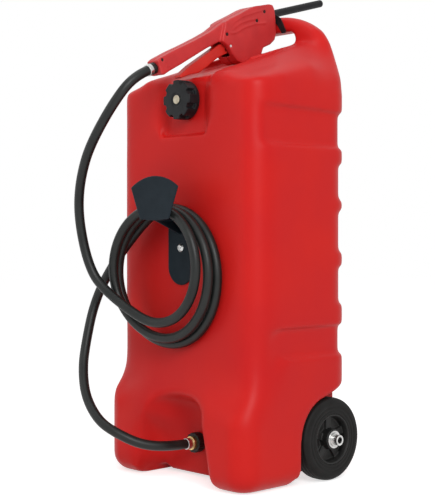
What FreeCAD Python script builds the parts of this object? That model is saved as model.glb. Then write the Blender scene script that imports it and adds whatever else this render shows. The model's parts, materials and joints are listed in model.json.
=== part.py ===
import FreeCAD, Part
import math
import os
from FreeCAD import Vector as V

# Rolling fuel tank with a hand nozzle, in millimetres.
# +Z is up, -Y is the front and X runs along the wheel axle. Y is measured from the middle of the body here,
# and each saved piece is moved so that the origin lies under the middle of the outline.

# Tank body
BODY_WIDTH = 380.0
BODY_DEPTH = 256.0
FRONT_Y = -BODY_DEPTH / 2
REAR_Y = BODY_DEPTH / 2
OUTLINE_MIDDLE_Y = 19.94
BODY_CORNER_R = 45.0
WALL = 4.0
SHOULDER_Z = 716.0
DECK_REAR_Z = 820.85
DECK_SLOPE = 0.295
DECK_RIDGE_WIDTH = 200.0
DECK_NOSE_R = 26.0
FOOT_REACH = 30.0
FOOT_TOP_Z = 168.0
FOOT_BLEND = 37.0
FOOT_EDGE_R = 34.0
BELLY_Z = 13.0
SOLE_WIDTH = 210.0

# Handle arch over the rear of the deck
ARCH_FRONT_Y = 102.0
ARCH_REAR_Y = 136.0
ARCH_WIDTH = BODY_WIDTH - 6
ARCH_TOP_Z = 877.0
ARCH_CORNER_R = 176.0
ARCH_PLAN_R = 52.0
ARCH_FOOT_Z = 684.0
ARCH_EDGE_R = 12.0
GRIP_HOLE_WIDTH = 134.0
GRIP_HOLE_HEIGHT = 33.0
GRIP_HOLE_Z = 827.5

# Front pocket, nozzle cradle and filler neck
POCKET_WIDTH = 122.0
POCKET_DEPTH = 16.0
POCKET_FOOT_Z = 633.0
CRADLE_REAR_Z = 802.2
CRADLE_SLOPE = 0.30
POCKET_EDGE_R = 6.0
NECK_Z = 698.0
NECK_R = 24.0
NECK_BORE_R = 19.5
NECK_LENGTH = 20.7

# Stiffening bands and rear ribs
BAND_DEPTH = 8.0
UPPER_BAND = (610.0, 684.0, 675.0)
LOWER_BAND = (230.0, 285.0)
REAR_PANELS = ((322.0, 393.0), (418.0, 496.0), (515.0, 582.0))
REAR_PANEL_DEPTH = 8.5

# Outlet niche between the feet
NICHE_REAR_Y = FRONT_Y + 44
NICHE_TOP_Z = 166.0
NICHE_TOP_WIDTH = 136.0
NICHE_FOOT_WIDTH = 208.0
NICHE_CORNER_R = 30.0
NICHE_REAR_R = 22.0
OUTLET_Z = 66.0
OUTLET_HOLE_R = 9.0
OUTLET_PIPE_R = 8.6
OUTLET_BORE_R = 5.0
NUT_R = 18.5
NUT_LENGTH = 15.0
FLANGE_R = 12.5
FERRULE_LENGTH = 12.0
FERRULE_END_Y = NICHE_REAR_Y - 2 - NUT_LENGTH - 6 - FERRULE_LENGTH
STRAINER_LENGTH = 50.0

# Axle and wheels
AXLE_Y = 72.0
AXLE_Z = 76.0
AXLE_R = 9.5
AXLE_BORE_R = 6.0
AXLE_LENGTH = BODY_WIDTH + 37
WHEEL_R = 76.0
WHEEL_WIDTH = 38.0
WHEEL_CENTRE_X = BODY_WIDTH / 2 - 17
RIM_R = 46.0
HUB_R = 19.0
HUB_LENGTH = 42.0
SPOKES = 5
WELL_X = WHEEL_CENTRE_X - 27.0
WELL_GAP = 3.5
WASHER_R = 16.0
WASHER_THICK = 1.6

# Hose hook
HOOK_PLATE = 3.4
HOOK_TONGUE_WIDTH = 70.0
HOOK_TONGUE_FOOT_Z = 358.5
HOOK_TONGUE_TOP_Z = 488.0
HOOK_ARM_TOP_Z = 489.7
HOOK_ARM_THICK = 13.0
HOOK_ARM_WIDTH = 36.0
HOOK_REACH = 65.0
HOOK_SCREW_Z = 427.0
HOOK_SCREW_R = 3.0
HOOK_HEAD_R = 8.0
INSERT_R = 5.0
INSERT_LENGTH = 16.5

# Hose and its coil
HOSE_R = 9.0
COIL_CENTRE_X = -13.5
COIL_TOP_Z = 499.0
COIL_FRONT_R = 103.5
COIL_GROWTH = (19.4, -4.6)
COIL_SPREAD = 0.96
COIL_DEPTH = (-94.0, -53.0, -48.4, -52.3, -61.5, -33.5, -29.8, -33.0, -42.5, -14.5, -10.9, -13.8, -22.0, -32.0)
COIL_START = 250.0
COIL_END = 1215.0
COIL_STEPS = 12
HOSE_SQUARE = 58.0
HOSE_START = (0.0, -211.0, 744.0)
HOSE_BEND = (0.0, -244.0, 730.28)
UPPER_ROUTE = [(-25, -142, 682), (-74, -147, 623), (-112, -139, 581), (-147, -125, 526), (-161, -112, 471),
               (-152, -100, 399), (-129, -88, 354)]
LOWER_ROUTE = [(-162, -36, 390), (-196, -51, 320), (-182, -83, 239), (-166, -101, 197), (-136, -117, 151),
               (-94, -120, 112), (-56, -108, 92), (-22, -75, 71), (0, -27, OUTLET_Z)]

# Filler cap
CAP_R = 36.0
CAP_LOBES = 8
CAP_NOTCH = 5.5
CAP_LENGTH = 26.0
CAP_STAND_OFF = 14.0
CAP_TOP = 6.0
CAP_GAP = 0.5
VENT_R = 8.0
GASKET = 3.0

# Nozzle
GRIP_HALF = 16.0
BODY_HALF = 24.0
SHELL_WALL = 2.6
NOZZLE_EDGE_R = 5.0
GRIP_LINE = [(-192, 768), (-162, 783.5), (-125, 800.5), (-88, 818.5), (-62, 832.5), (-37, 850),
             (-20, 858), (-20, 822), (-46, 812.5), (-80, 796), (-143, 760.5), (-172, 745), (-183, 738),
             (-189.4, 738), (-199.4, 762)]
GUN_LINE = [(-37, 850), (-22, 858.5), (3, 870.5), (30, 884.5), (43, 890), (57, 893), (80, 898.5),
            (90, 898), (95, 890), (98, 872), (99.5, 842), (96, 831), (84, 820.5), (64, 812), (60, 802),
            (54, 789), (42, 784.5), (8, 776), (-6, 780), (-18, 790), (-30, 805), (-46, 813)]
LEVER_PIVOT = (-24.0, 806.0)
LEVER_HALF = 9.0
LEVER_LINE = [(-28, 812), (-34, 813), (-60, 796), (-112, 763.5), (-139, 742.5), (-140, 738.5), (-136, 736.8),
              (-92, 755.5), (-62, 779), (-40, 793), (-24, 800)]
LEVER_ARM = [(-24, 811), (16, 811), (18, 807), (16, 804.5), (-14, 804.5), (-24, 802)]
LEVER_ARM_HALF = 4.0
LEVER_PIN_R = 2.5
PUMP_Y = 12.0
PUMP_R = 15.0
PUMP_WALL = 2.0
PUMP_Z = (784.0, 800.0)
VALVE_Y = (2.0, 40.0)
VALVE_Z = (814.0, 836.0)
FUEL_TUBE_R = 4.0
FUEL_BORE_R = 2.8
INLET_ROUTE = [(0, -70, 812), (0, -34, 843)]
OUTLET_ROUTE = [(0, 57, 829)]
SPOUT_R = 7.5
SPOUT_BORE_R = 5.5
SPOUT_START = (62.0, 871.5)
SPOUT_TIP = (253.0, 925.0)
SPOUT_COLLAR_AT = 38.0
SPOUT_CLIP_THICK = 1.8
BODY_SCREWS = ((66, 882), (45.5, 862), (-34, 827))
GRIP_SCREW = (-188, 764.5)
SCREW_R = 1.7
TAIL_R = 8.0
TAIL_LENGTH = 40.0
PLAY = 0.3


def box(x0, x1, y0, y1, z0, z1):
    return Part.makeBox(x1 - x0, y1 - y0, z1 - z0, V(x0, y0, z0))


def rod(start, end, radius):
    line = V(*end) - V(*start)
    return Part.makeCylinder(radius, line.Length, V(*start), line)


def pipe_between(start, end, outer, inner):
    line = (V(*end) - V(*start)).normalize()
    bore = rod(V(*start) - line, V(*end) + line, inner)
    return rod(start, end, outer).cut(bore)


def fuse(shapes):
    return shapes[0].fuse(shapes[1:]).removeSplitter() if len(shapes) > 1 else shapes[0]


def group(shapes):
    return Part.Compound(shapes)


def mirrored(shape):
    return shape.mirror(V(0, 0, 0), V(1, 0, 0))


def arc_or_line(a, b, middle=None):
    return Part.Arc(a, middle, b).toShape() if middle else Part.LineSegment(a, b).toShape()


def prism(points, direction):
    return Part.Face(Part.makePolygon(points + [points[0]])).extrude(direction)


def prism_yz(points, x0, x1):
    return prism([V(x0, y, z) for y, z in points], V(x1 - x0, 0, 0))


def prism_xz(points, y0, y1):
    return prism([V(x, y0, z) for x, z in points], V(0, y1 - y0, 0))


def plan_prism(half_x, y0, y1, r_front, r_rear, z0, z1):
    # Prism of a rounded rectangle in plan, with one radius in front and one behind
    corner = 1 - math.sqrt(0.5)
    points, middles = [], {}
    for side_x, side_y, r in ((1, -1, r_front), (1, 1, r_rear), (-1, 1, r_rear), (-1, -1, r_front)):
        cx = side_x * half_x
        cy = y0 if side_y < 0 else y1
        along_x = V(cx - side_x * r, cy, z0)
        along_y = V(cx, cy - side_y * r, z0)
        first, second = (along_x, along_y) if side_x * side_y < 0 else (along_y, along_x)
        middles[len(points)] = V(cx - side_x * r * corner, cy - side_y * r * corner, z0)
        points += [first, second]
    edges = [arc_or_line(points[i], points[(i + 1) % 8], middles.get(i)) for i in range(8)]
    return Part.Face(Part.Wire(edges)).extrude(V(0, 0, z1 - z0))


def round_edges(shape, radius, wanted):
    return shape.makeFillet(radius, [e for e in shape.Edges if wanted(e)])


def deck_z(y):
    return DECK_REAR_Z + DECK_SLOPE * (y - ARCH_FRONT_Y)


def cradle_z(y):
    return CRADLE_REAR_Z + CRADLE_SLOPE * (y - ARCH_FRONT_Y)


# Tank shell
def roof_wire(y, side_x, start_z, end_x, end_z, ridge_x, ridge_z):
    # Section across the tank: straight side, round shoulder, slight fall from the ridge
    dx, dz = side_x - end_x, end_z - start_z
    r = (dx * dx + dz * dz) / (2 * dx)
    half_turn = math.atan2(dz, r - dx) / 2
    mid_x = side_x - r + r * math.cos(half_turn)
    mid_z = start_z + r * math.sin(half_turn)
    right = [(side_x, 0), (side_x, start_z), (end_x, end_z), (ridge_x, ridge_z)]
    points = [V(x, y, z) for x, z in right] + [V(-x, y, z) for x, z in reversed(right)]
    middles = {1: V(mid_x, y, mid_z), 5: V(-mid_x, y, mid_z)}
    return Part.Wire([arc_or_line(points[i], points[(i + 1) % 8], middles.get(i)) for i in range(8)])


def nose_prism(inset):
    # Side outline of the body from the front wall round the nose on to the sloping deck
    slope = math.atan(DECK_SLOPE)
    r = DECK_NOSE_R - inset
    y, z = FRONT_Y + inset, deck_z(FRONT_Y + inset) - inset
    half_turn = (math.pi / 2 - slope) / 2
    reach = r * math.tan(half_turn)
    start = V(-BODY_WIDTH, y, z - reach)
    end = V(-BODY_WIDTH, y + reach * math.cos(slope), z + reach * math.sin(slope))
    a = math.pi - half_turn
    middle = V(-BODY_WIDTH, y + r + r * math.cos(a), z - reach + r * math.sin(a))
    far = V(-BODY_WIDTH, BODY_DEPTH, deck_z(BODY_DEPTH))
    points = [V(-BODY_WIDTH, y, 0), start, end, far, V(-BODY_WIDTH, BODY_DEPTH, 0)]
    wire = Part.Wire([arc_or_line(points[i], points[(i + 1) % 5], middle if i == 1 else None) for i in range(5)])
    return Part.Face(wire).extrude(V(2 * BODY_WIDTH, 0, 0))


def tank_blank(inset):
    half = BODY_WIDTH / 2 - inset
    front, rear = FRONT_Y + inset, REAR_Y - inset
    r = BODY_CORNER_R - inset
    past = 5.0
    roof = []
    for y, run, fall in ((FRONT_Y - past, 25.0, 13.0), (REAR_Y + past, 88.0, 2.0)):
        top = deck_z(y) - inset
        roof.append(roof_wire(y, half + 1, SHOULDER_Z - inset, half - run, top - fall, DECK_RIDGE_WIDTH / 2, top))
    upper = plan_prism(half, front, rear, r, r, FOOT_TOP_Z / 2, ARCH_TOP_Z)
    upper = upper.common(Part.makeLoft(roof, True, True)).common(nose_prism(inset))
    foot_top = FOOT_TOP_Z - inset
    lower_top = foot_top + 2 * FOOT_BLEND
    lower = plan_prism(half, front - FOOT_REACH, rear, r, r, inset, lower_top)
    lower = round_edges(lower, FOOT_EDGE_R - inset, lambda e: e.BoundBox.ZMax < inset + 0.1)
    away = front - FOOT_REACH - 20
    lower = lower.cut(prism_yz([(away, foot_top), (front - FOOT_REACH, foot_top), (front + FOOT_REACH, lower_top),
                                (front + FOOT_REACH, lower_top + 20), (away, lower_top + 20)],
                               -half - 1, half + 1))
    return fuse([upper, lower])


def well_profile(gap):
    # Side outline of the space round a wheel, open below and behind
    r = WHEEL_R + WELL_GAP + gap
    points = [(AXLE_Y, -1.0), (AXLE_Y - r, -1.0)]
    for degrees in range(180, 99, -10):
        a = math.radians(degrees)
        points.append((AXLE_Y + r * math.cos(a), AXLE_Z + r * math.sin(a)))
    points += [(REAR_Y + 30, AXLE_Z + r + 34), (REAR_Y + 30, -1.0)]
    return points


def pocket_cutter(gap):
    half = POCKET_WIDTH / 2 + gap
    floor_y = FRONT_Y + POCKET_DEPTH + gap
    away = FRONT_Y - 60
    pocket = box(-half, half, away, floor_y, POCKET_FOOT_Z - gap, ARCH_TOP_Z)
    cradle = prism_yz([(away, cradle_z(away) - gap), (ARCH_FRONT_Y, cradle_z(ARCH_FRONT_Y) - gap),
                       (ARCH_FRONT_Y, ARCH_TOP_Z), (away, ARCH_TOP_Z)], -half, half)
    cutter = fuse([pocket, cradle])
    return cutter if gap else round_edges(
        cutter, POCKET_EDGE_R, lambda e: e.CenterOfMass.z < ARCH_TOP_Z - 1 and e.CenterOfMass.y > away + 1
        and abs(e.BoundBox.XLength) < 1 and e.BoundBox.ZLength > 20)


def niche_cutter(gap):
    top, foot = NICHE_TOP_WIDTH / 2 + gap, NICHE_FOOT_WIDTH / 2 + gap
    front = FRONT_Y - FOOT_REACH
    rear = NICHE_REAR_Y + gap
    cutter = prism_xz([(-foot, -1), (foot, -1), (top, NICHE_TOP_Z + gap), (-top, NICHE_TOP_Z + gap)], front - 20, rear)
    cutter = round_edges(cutter, NICHE_CORNER_R,
                         lambda e: e.BoundBox.YLength > 20 and e.CenterOfMass.z > NICHE_TOP_Z / 2)
    return cutter if gap else round_edges(
        cutter, NICHE_REAR_R, lambda e: e.BoundBox.YMin > rear - 1 and e.CenterOfMass.z > 0)


def band_cutter(low, high_front, high_rear, side_depth, rear_depth, corner_r):
    # Everything outside a slightly smaller rounded prism, between two levels
    half = BODY_WIDTH / 2
    slab = prism_yz([(-half, low), (REAR_Y + 40, low), (REAR_Y + 40, high_rear), (-half, high_front)],
                    -half - 20, half + 20)
    core = plan_prism(half - side_depth, -half - 60, REAR_Y - rear_depth, corner_r, corner_r, low - 5, high_front + 5)
    return slab.cut(core)


def tank_shell():
    half, front, rear = BODY_WIDTH / 2, FRONT_Y, REAR_Y
    outer = tank_blank(0)
    cavity = tank_blank(WALL)
    bands = [band_cutter(*UPPER_BAND, BAND_DEPTH, BAND_DEPTH, BODY_CORNER_R - BAND_DEPTH),
             band_cutter(LOWER_BAND[0], LOWER_BAND[1], LOWER_BAND[1], BAND_DEPTH, BAND_DEPTH,
                         BODY_CORNER_R - BAND_DEPTH)]
    grown = [band_cutter(UPPER_BAND[0] - WALL, UPPER_BAND[1] + WALL, UPPER_BAND[2] + WALL,
                         BAND_DEPTH + WALL, BAND_DEPTH + WALL, BODY_CORNER_R - BAND_DEPTH - WALL),
             band_cutter(LOWER_BAND[0] - WALL, LOWER_BAND[1] + WALL, LOWER_BAND[1] + WALL,
                         BAND_DEPTH + WALL, BAND_DEPTH + WALL, BODY_CORNER_R - BAND_DEPTH - WALL)]
    for low, high in REAR_PANELS:
        bands.append(band_cutter(low, high, high, 0, REAR_PANEL_DEPTH, BODY_CORNER_R + 3))
        grown.append(band_cutter(low - WALL, high + WALL, high + WALL, WALL, REAR_PANEL_DEPTH + WALL, BODY_CORNER_R))
    axle_tunnel = rod((-half - 1, AXLE_Y, AXLE_Z), (half + 1, AXLE_Y, AXLE_Z), AXLE_R)
    tunnel_wall = rod((-half - 1, AXLE_Y, AXLE_Z), (half + 1, AXLE_Y, AXLE_Z), AXLE_R + WALL)
    cavity = cavity.cut(grown + [pocket_cutter(WALL), niche_cutter(WALL), tunnel_wall])
    outer = outer.cut(bands)
    for side in (-1, 1):
        edge = side * (half + 2)
        outer = outer.cut(prism_yz(well_profile(0), side * WELL_X, edge))
        cavity = cavity.cut(prism_yz(well_profile(WALL), side * (WELL_X - WALL), edge))
    sole = box(-SOLE_WIDTH / 2, SOLE_WIDTH / 2, front, rear + 20, -1, BELLY_Z)
    belly = box(-half, half, -20, rear + 20, -1, BELLY_Z)
    outer = outer.cut([sole, belly])
    cavity = cavity.cut([box(-half, half, front - FOOT_REACH, rear, -1, BELLY_Z + WALL), grip_hole(WALL)])
    arch = handle_arch()
    outer = fuse([outer, arch]).cut(grip_hole(0))
    outer = outer.cut([pocket_cutter(0), niche_cutter(0)])
    floor_y = front + POCKET_DEPTH
    neck = rod((0, floor_y + 2, NECK_Z), (0, floor_y - NECK_LENGTH, NECK_Z), NECK_R)
    neck_bore = rod((0, floor_y + 10, NECK_Z), (0, floor_y - NECK_LENGTH - 1, NECK_Z), NECK_BORE_R)
    boss_end = front + 20
    boss = rod((0, front + 1, HOOK_SCREW_Z), (0, boss_end, HOOK_SCREW_Z), 9.0)
    insert_bore = rod((0, front - 1, HOOK_SCREW_Z), (0, boss_end - 3, HOOK_SCREW_Z), INSERT_R)
    outlet_bore = rod((0, NICHE_REAR_Y - 5, OUTLET_Z), (0, NICHE_REAR_Y + 10, OUTLET_Z), OUTLET_HOLE_R)
    print("cavity litres", round(cavity.Volume / 1e6, 1), "outside the skin", round(cavity.cut(outer).Volume, 1))
    shell = outer.cut(cavity)
    shell = fuse([shell, neck, boss]).cut([neck_bore, insert_bore, outlet_bore, axle_tunnel])
    return shell


def handle_arch():
    half = ARCH_WIDTH / 2
    r = ARCH_CORNER_R
    k = r * math.sqrt(0.5)
    y = ARCH_FRONT_Y
    z_arc = ARCH_TOP_Z - r
    points = [V(half, y, ARCH_FOOT_Z), V(half, y, z_arc), V(half - r, y, ARCH_TOP_Z),
              V(-half + r, y, ARCH_TOP_Z), V(-half, y, z_arc), V(-half, y, ARCH_FOOT_Z)]
    middles = {1: V(half - r + k, y, z_arc + k), 3: V(-half + r - k, y, z_arc + k)}
    wire = Part.Wire([arc_or_line(points[i], points[(i + 1) % 6], middles.get(i)) for i in range(6)])
    slab = Part.Face(wire).extrude(V(0, ARCH_REAR_Y - y, 0))
    plan = plan_prism(half, FRONT_Y, ARCH_REAR_Y, ARCH_PLAN_R, ARCH_PLAN_R, ARCH_FOOT_Z, ARCH_TOP_Z)
    top_edges = lambda e: e.CenterOfMass.z > z_arc + 5 and e.BoundBox.YLength < 0.1
    return round_edges(slab, ARCH_EDGE_R, top_edges).common(plan)


def grip_hole(gap):
    r = GRIP_HOLE_HEIGHT / 2 + gap
    reach = (GRIP_HOLE_WIDTH - GRIP_HOLE_HEIGHT) / 2
    y0, y1 = ARCH_FRONT_Y - 30, ARCH_REAR_Y + 5
    slot = [box(-reach, reach, y0, y1, GRIP_HOLE_Z - r, GRIP_HOLE_Z + r)]
    for side in (-1, 1):
        slot.append(rod((side * reach, y0, GRIP_HOLE_Z), (side * reach, y1, GRIP_HOLE_Z), r))
    return fuse(slot)


# Hose hook and its fixing
def hose_hook():
    face, fan_y = FRONT_Y, FRONT_Y - HOOK_REACH
    half = HOOK_TONGUE_WIDTH / 2
    tongue = fuse([box(-half, half, face - HOOK_PLATE, face, HOOK_TONGUE_FOOT_Z + half, HOOK_TONGUE_TOP_Z),
                   rod((0, face, HOOK_TONGUE_FOOT_Z + half), (0, face - HOOK_PLATE, HOOK_TONGUE_FOOT_Z + half), half)])
    arm_half = HOOK_ARM_WIDTH / 2
    arm = box(-arm_half, arm_half, fan_y, face - HOOK_PLATE, HOOK_ARM_TOP_Z - HOOK_ARM_THICK, HOOK_ARM_TOP_Z)
    crown = COIL_FRONT_R - HOSE_R - 3
    arm = arm.common(rod((COIL_CENTRE_X, fan_y, HOOK_ARM_TOP_Z - crown),
                         (COIL_CENTRE_X, face, HOOK_ARM_TOP_Z - crown), crown))
    gusset = prism_yz([(face - HOOK_PLATE, HOOK_ARM_TOP_Z - HOOK_ARM_THICK - 26),
                       (face - HOOK_PLATE, HOOK_ARM_TOP_Z - 5), (fan_y, HOOK_ARM_TOP_Z - 5),
                       (fan_y, HOOK_ARM_TOP_Z - HOOK_ARM_THICK)], -3, 3)
    corners = [V(-65, fan_y, 537), V(65, fan_y, 537), V(40, fan_y, 479), V(-40, fan_y, 479)]
    middles = {0: V(0, fan_y, 557), 2: V(0, fan_y, 476.5)}
    fan = Part.Wire([arc_or_line(corners[i], corners[(i + 1) % 4], middles.get(i)) for i in range(4)])
    fan = Part.Face(fan).extrude(V(0, -HOOK_PLATE, 0))
    hook = fuse([tongue, arm, gusset, fan])
    hole = rod((0, face + 1, HOOK_SCREW_Z), (0, face - HOOK_PLATE - 1, HOOK_SCREW_Z), HOOK_SCREW_R + 0.2)
    return hook.cut(hole)


def hook_screw():
    face = FRONT_Y - HOOK_PLATE
    head = Part.makeCone(HOOK_HEAD_R, HOOK_HEAD_R - 3, 3.2, V(0, face, HOOK_SCREW_Z), V(0, -1, 0))
    slot = box(-0.8, 0.8, face - 4, face - 1.8, HOOK_SCREW_Z - 5, HOOK_SCREW_Z + 5)
    cross = box(-5, 5, face - 4, face - 1.8, HOOK_SCREW_Z - 0.8, HOOK_SCREW_Z + 0.8)
    shank = rod((0, face, HOOK_SCREW_Z), (0, face + 18, HOOK_SCREW_Z), HOOK_SCREW_R)
    return fuse([head.cut([slot, cross]), shank])


def hook_insert():
    face = FRONT_Y
    return pipe_between((0, face + 0.2, HOOK_SCREW_Z), (0, face + INSERT_LENGTH, HOOK_SCREW_Z),
                        INSERT_R, HOOK_SCREW_R)


# Outlet at the back of the niche
def on_outlet(start, end, outer, inner):
    return pipe_between((0, start, OUTLET_Z), (0, end, OUTLET_Z), outer, inner)


def outlet_pieces():
    wall = NICHE_REAR_Y
    gasket = on_outlet(wall, wall - 2, NUT_R - 1, OUTLET_PIPE_R)
    nut = on_outlet(wall - 2, wall - 2 - NUT_LENGTH, NUT_R, OUTLET_PIPE_R)
    for i in range(12):
        a = math.radians(30 * i)
        x, z = (NUT_R + 1.2) * math.cos(a), OUTLET_Z + (NUT_R + 1.2) * math.sin(a)
        nut = nut.cut(rod((x, wall - 4, z), (x, wall - 3 - NUT_LENGTH, z), 2.6))
    nut_end = wall - 2 - NUT_LENGTH
    inside = wall + WALL
    fitting = fuse([on_outlet(inside + 14, nut_end, OUTLET_PIPE_R, OUTLET_BORE_R),
                    on_outlet(nut_end, nut_end - 6, FLANGE_R, OUTLET_BORE_R),
                    on_outlet(nut_end - 6, nut_end - 16, 6.6, OUTLET_BORE_R)])
    lock_nut = on_outlet(inside, inside + 8, 15.0, OUTLET_PIPE_R)
    tip = inside + STRAINER_LENGTH
    strainer = fuse([on_outlet(inside + 8, tip, OUTLET_PIPE_R + 1.6, OUTLET_PIPE_R),
                     rod((0, tip, OUTLET_Z), (0, tip + 2, OUTLET_Z), OUTLET_PIPE_R + 1.6)])
    slots = [box(-12, 12, inside + 18 + 6 * i, inside + 21 + 6 * i, OUTLET_Z - 5, OUTLET_Z + 5) for i in range(5)]
    ferrule = on_outlet(nut_end - 6, nut_end - 6 - FERRULE_LENGTH, HOSE_R + 1.4, 6.6)
    return {"outlet_gasket": gasket, "outlet_nut": nut, "outlet_fitting": fitting,
            "outlet_lock_nut": lock_nut, "outlet_strainer": strainer.cut(slots), "outlet_ferrule": ferrule}


# Axle and wheels
def on_axle(x0, x1, outer, inner):
    return pipe_between((x0, AXLE_Y, AXLE_Z), (x1, AXLE_Y, AXLE_Z), outer, inner)


def revolve_on_axle(points, centre_x):
    # Turn a section of (distance from the wheel's middle, radius) about the axle
    wire = Part.makePolygon([V(centre_x + x, AXLE_Y, AXLE_Z + r) for x, r in points + [points[0]]])
    return Part.Face(wire).revolve(V(0, AXLE_Y, AXLE_Z), V(1, 0, 0), 360)


def tyre(centre_x):
    w = WHEEL_WIDTH / 2
    return revolve_on_axle([(-w, RIM_R), (-w, WHEEL_R - 8), (-w + 2, WHEEL_R - 4), (-w + 7, WHEEL_R - 1),
                            (-6, WHEEL_R), (6, WHEEL_R), (w - 7, WHEEL_R - 1), (w - 2, WHEEL_R - 4),
                            (w, WHEEL_R - 8), (w, RIM_R)], centre_x)


def rim(centre_x):
    w = WHEEL_WIDTH / 2
    ring = revolve_on_axle([(-w, RIM_R), (w, RIM_R), (w, RIM_R - 3), (w - 8, RIM_R - 6),
                            (-w + 8, RIM_R - 6), (-w, RIM_R - 3)], centre_x)
    hub = on_axle(centre_x - HUB_LENGTH / 2, centre_x + HUB_LENGTH / 2, HUB_R, AXLE_R + PLAY)
    web = on_axle(centre_x - 3, centre_x + 3, RIM_R - 5, HUB_R - 1)
    spokes = []
    for i in range(SPOKES):
        spoke = box(centre_x - 8, centre_x + 8, AXLE_Y - 7, AXLE_Y + 7, AXLE_Z + HUB_R - 2, AXLE_Z + RIM_R - 5)
        spoke.rotate(V(0, AXLE_Y, AXLE_Z), V(1, 0, 0), 360.0 / SPOKES * i)
        spokes.append(spoke)
    return fuse([ring, hub, web] + spokes)


def axle_pieces():
    half = AXLE_LENGTH / 2
    hub_out = WHEEL_CENTRE_X + HUB_LENGTH / 2
    hub_in = WHEEL_CENTRE_X - HUB_LENGTH / 2
    pieces = {"axle_tube": on_axle(-half, half, AXLE_R, AXLE_BORE_R)}
    washer = on_axle(hub_out + PLAY, hub_out + PLAY + WASHER_THICK, WASHER_R, AXLE_R)
    push_nut = on_axle(hub_out + PLAY + WASHER_THICK, hub_out + PLAY + WASHER_THICK + 3.0, AXLE_R + 3, AXLE_R)
    spacer = on_axle(WELL_X, hub_in - PLAY, AXLE_R + 3.5, AXLE_R)
    for name, shape in (("axle_washers", washer), ("axle_push_nuts", push_nut), ("axle_spacers", spacer)):
        pieces[name] = group([shape, mirrored(shape)])
    for name, x in (("left", -WHEEL_CENTRE_X), ("right", WHEEL_CENTRE_X)):
        pieces["tyre_" + name] = tyre(x)
        pieces["rim_" + name] = rim(x)
    return pieces


# Hose: tubes along hand-chosen points, and a coil of nearly three loops
def tube_along(points, radius, label):
    points = [V(*p) for p in points]
    edges, start, radii = [], points[0], []
    for i in range(1, len(points) - 1):
        back, ahead = points[i - 1] - points[i], points[i + 1] - points[i]
        reach = 0.45 * min(back.Length, ahead.Length)
        back.normalize()
        ahead.normalize()
        half_turn = (math.pi - back.getAngle(ahead)) / 2
        bend = reach / math.tan(half_turn)
        first, last = points[i] + back * reach, points[i] + ahead * reach
        inward = (back + ahead).normalize()
        middle = points[i] + inward * (bend / math.cos(half_turn) - bend)
        edges += [Part.LineSegment(start, first).toShape(), Part.Arc(first, middle, last).toShape()]
        start = last
        radii.append(round(bend))
    edges.append(Part.LineSegment(start, points[-1]).toShape())
    path = Part.Wire(edges)
    along = (points[1] - points[0]).normalize()
    section = Part.Wire([Part.Circle(points[0], along, radius).toShape()])
    tube = path.makePipeShell([section], True, False)
    expected = math.pi * radius * radius * path.Length
    print(label, "length", round(path.Length), "bend radii", radii, "volume ratio", round(tube.Volume / expected, 4))
    return tube


def coil_depth(degrees):
    # Smooth curve through one distance from the front wall for each quarter turn, the first at 180 degrees
    quarter = int((degrees - 180) / 90)
    s = (degrees - 180) / 90 - quarter
    before, first, last, after = [COIL_DEPTH[max(0, min(len(COIL_DEPTH) - 1, quarter + i))] for i in (-1, 0, 1, 2)]
    leave, arrive = (last - before) / 2, (after - first) / 2
    return (first * (2 * s ** 3 - 3 * s ** 2 + 1) + leave * (s ** 3 - 2 * s ** 2 + s)
            + last * (3 * s ** 2 - 2 * s ** 3) + arrive * (s ** 3 - s ** 2))


def coil_point(degrees):
    # Loops that hang from one height and grow towards the tank
    turns = (degrees - 270) / 360
    radius = COIL_FRONT_R + COIL_GROWTH[0] * turns + COIL_GROWTH[1] * turns ** 2
    a = math.radians(degrees)
    return V(COIL_CENTRE_X + COIL_SPREAD * radius * math.cos(a), FRONT_Y + coil_depth(degrees),
             COIL_TOP_Z - radius + radius * math.sin(a))


def coil_direction(degrees):
    return (coil_point(degrees + 0.5) - coil_point(degrees - 0.5)).normalize()


def arc_from(start, direction, end):
    # Arc that leaves start along direction and reaches end
    chord = end - start
    normal = direction.cross(chord)
    side = normal.cross(direction).normalize()
    r = chord.Length ** 2 / (2 * chord.dot(side))
    centre = start + side * r
    middle = centre + ((start - centre) + (end - centre)).normalize() * r
    return Part.Arc(start, middle, end).toShape()


def biarc(p0, d0, p1, d1):
    v = p1 - p0
    t = d0 + d1
    a = 2 * (1 - d0.dot(d1))
    b = v.dot(t)
    reach = (-b + math.sqrt(b * b + a * v.dot(v))) / a
    joint = (p0 + d0 * reach + p1 - d1 * reach) * 0.5
    back = arc_from(p1, d1 * -1, joint)
    return [arc_from(p0, d0, joint), Part.Arc(joint, back.valueAt(back.FirstParameter
            + (back.LastParameter - back.FirstParameter) / 2), p1).toShape()]


def coil_ends(lead=2 * HOSE_R):
    start, end = coil_point(COIL_START), coil_point(COIL_END)
    return start - coil_direction(COIL_START) * lead, end + coil_direction(COIL_END) * lead


def hose_coil():
    step = (COIL_END - COIL_START) / COIL_STEPS
    angles = [COIL_START + step * i for i in range(COIL_STEPS + 1)]
    first, last = coil_ends()
    edges = [Part.LineSegment(first, coil_point(angles[0])).toShape()]
    for a, b in zip(angles, angles[1:]):
        edges += biarc(coil_point(a), coil_direction(a), coil_point(b), coil_direction(b))
    edges.append(Part.LineSegment(coil_point(angles[-1]), last).toShape())
    path = Part.Wire(edges)
    section = Part.Wire([Part.Circle(first, coil_direction(COIL_START), HOSE_R).toShape()])
    coil = path.makePipeShell([section], True, False)
    samples = [coil_point(COIL_START + 2.0 * i) for i in range(int((COIL_END - COIL_START) / 2))]
    apart = min((p - q).Length for i, p in enumerate(samples) for q in samples[i + 60:])
    print("hose_coil length", round(path.Length), "least gap to itself", round(apart - 2 * HOSE_R, 2),
          "volume ratio", round(coil.Volume / (math.pi * HOSE_R ** 2 * path.Length), 4))
    return coil


def from_front(points):
    return [(x, FRONT_Y + y, z) for x, y, z in points]


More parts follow.
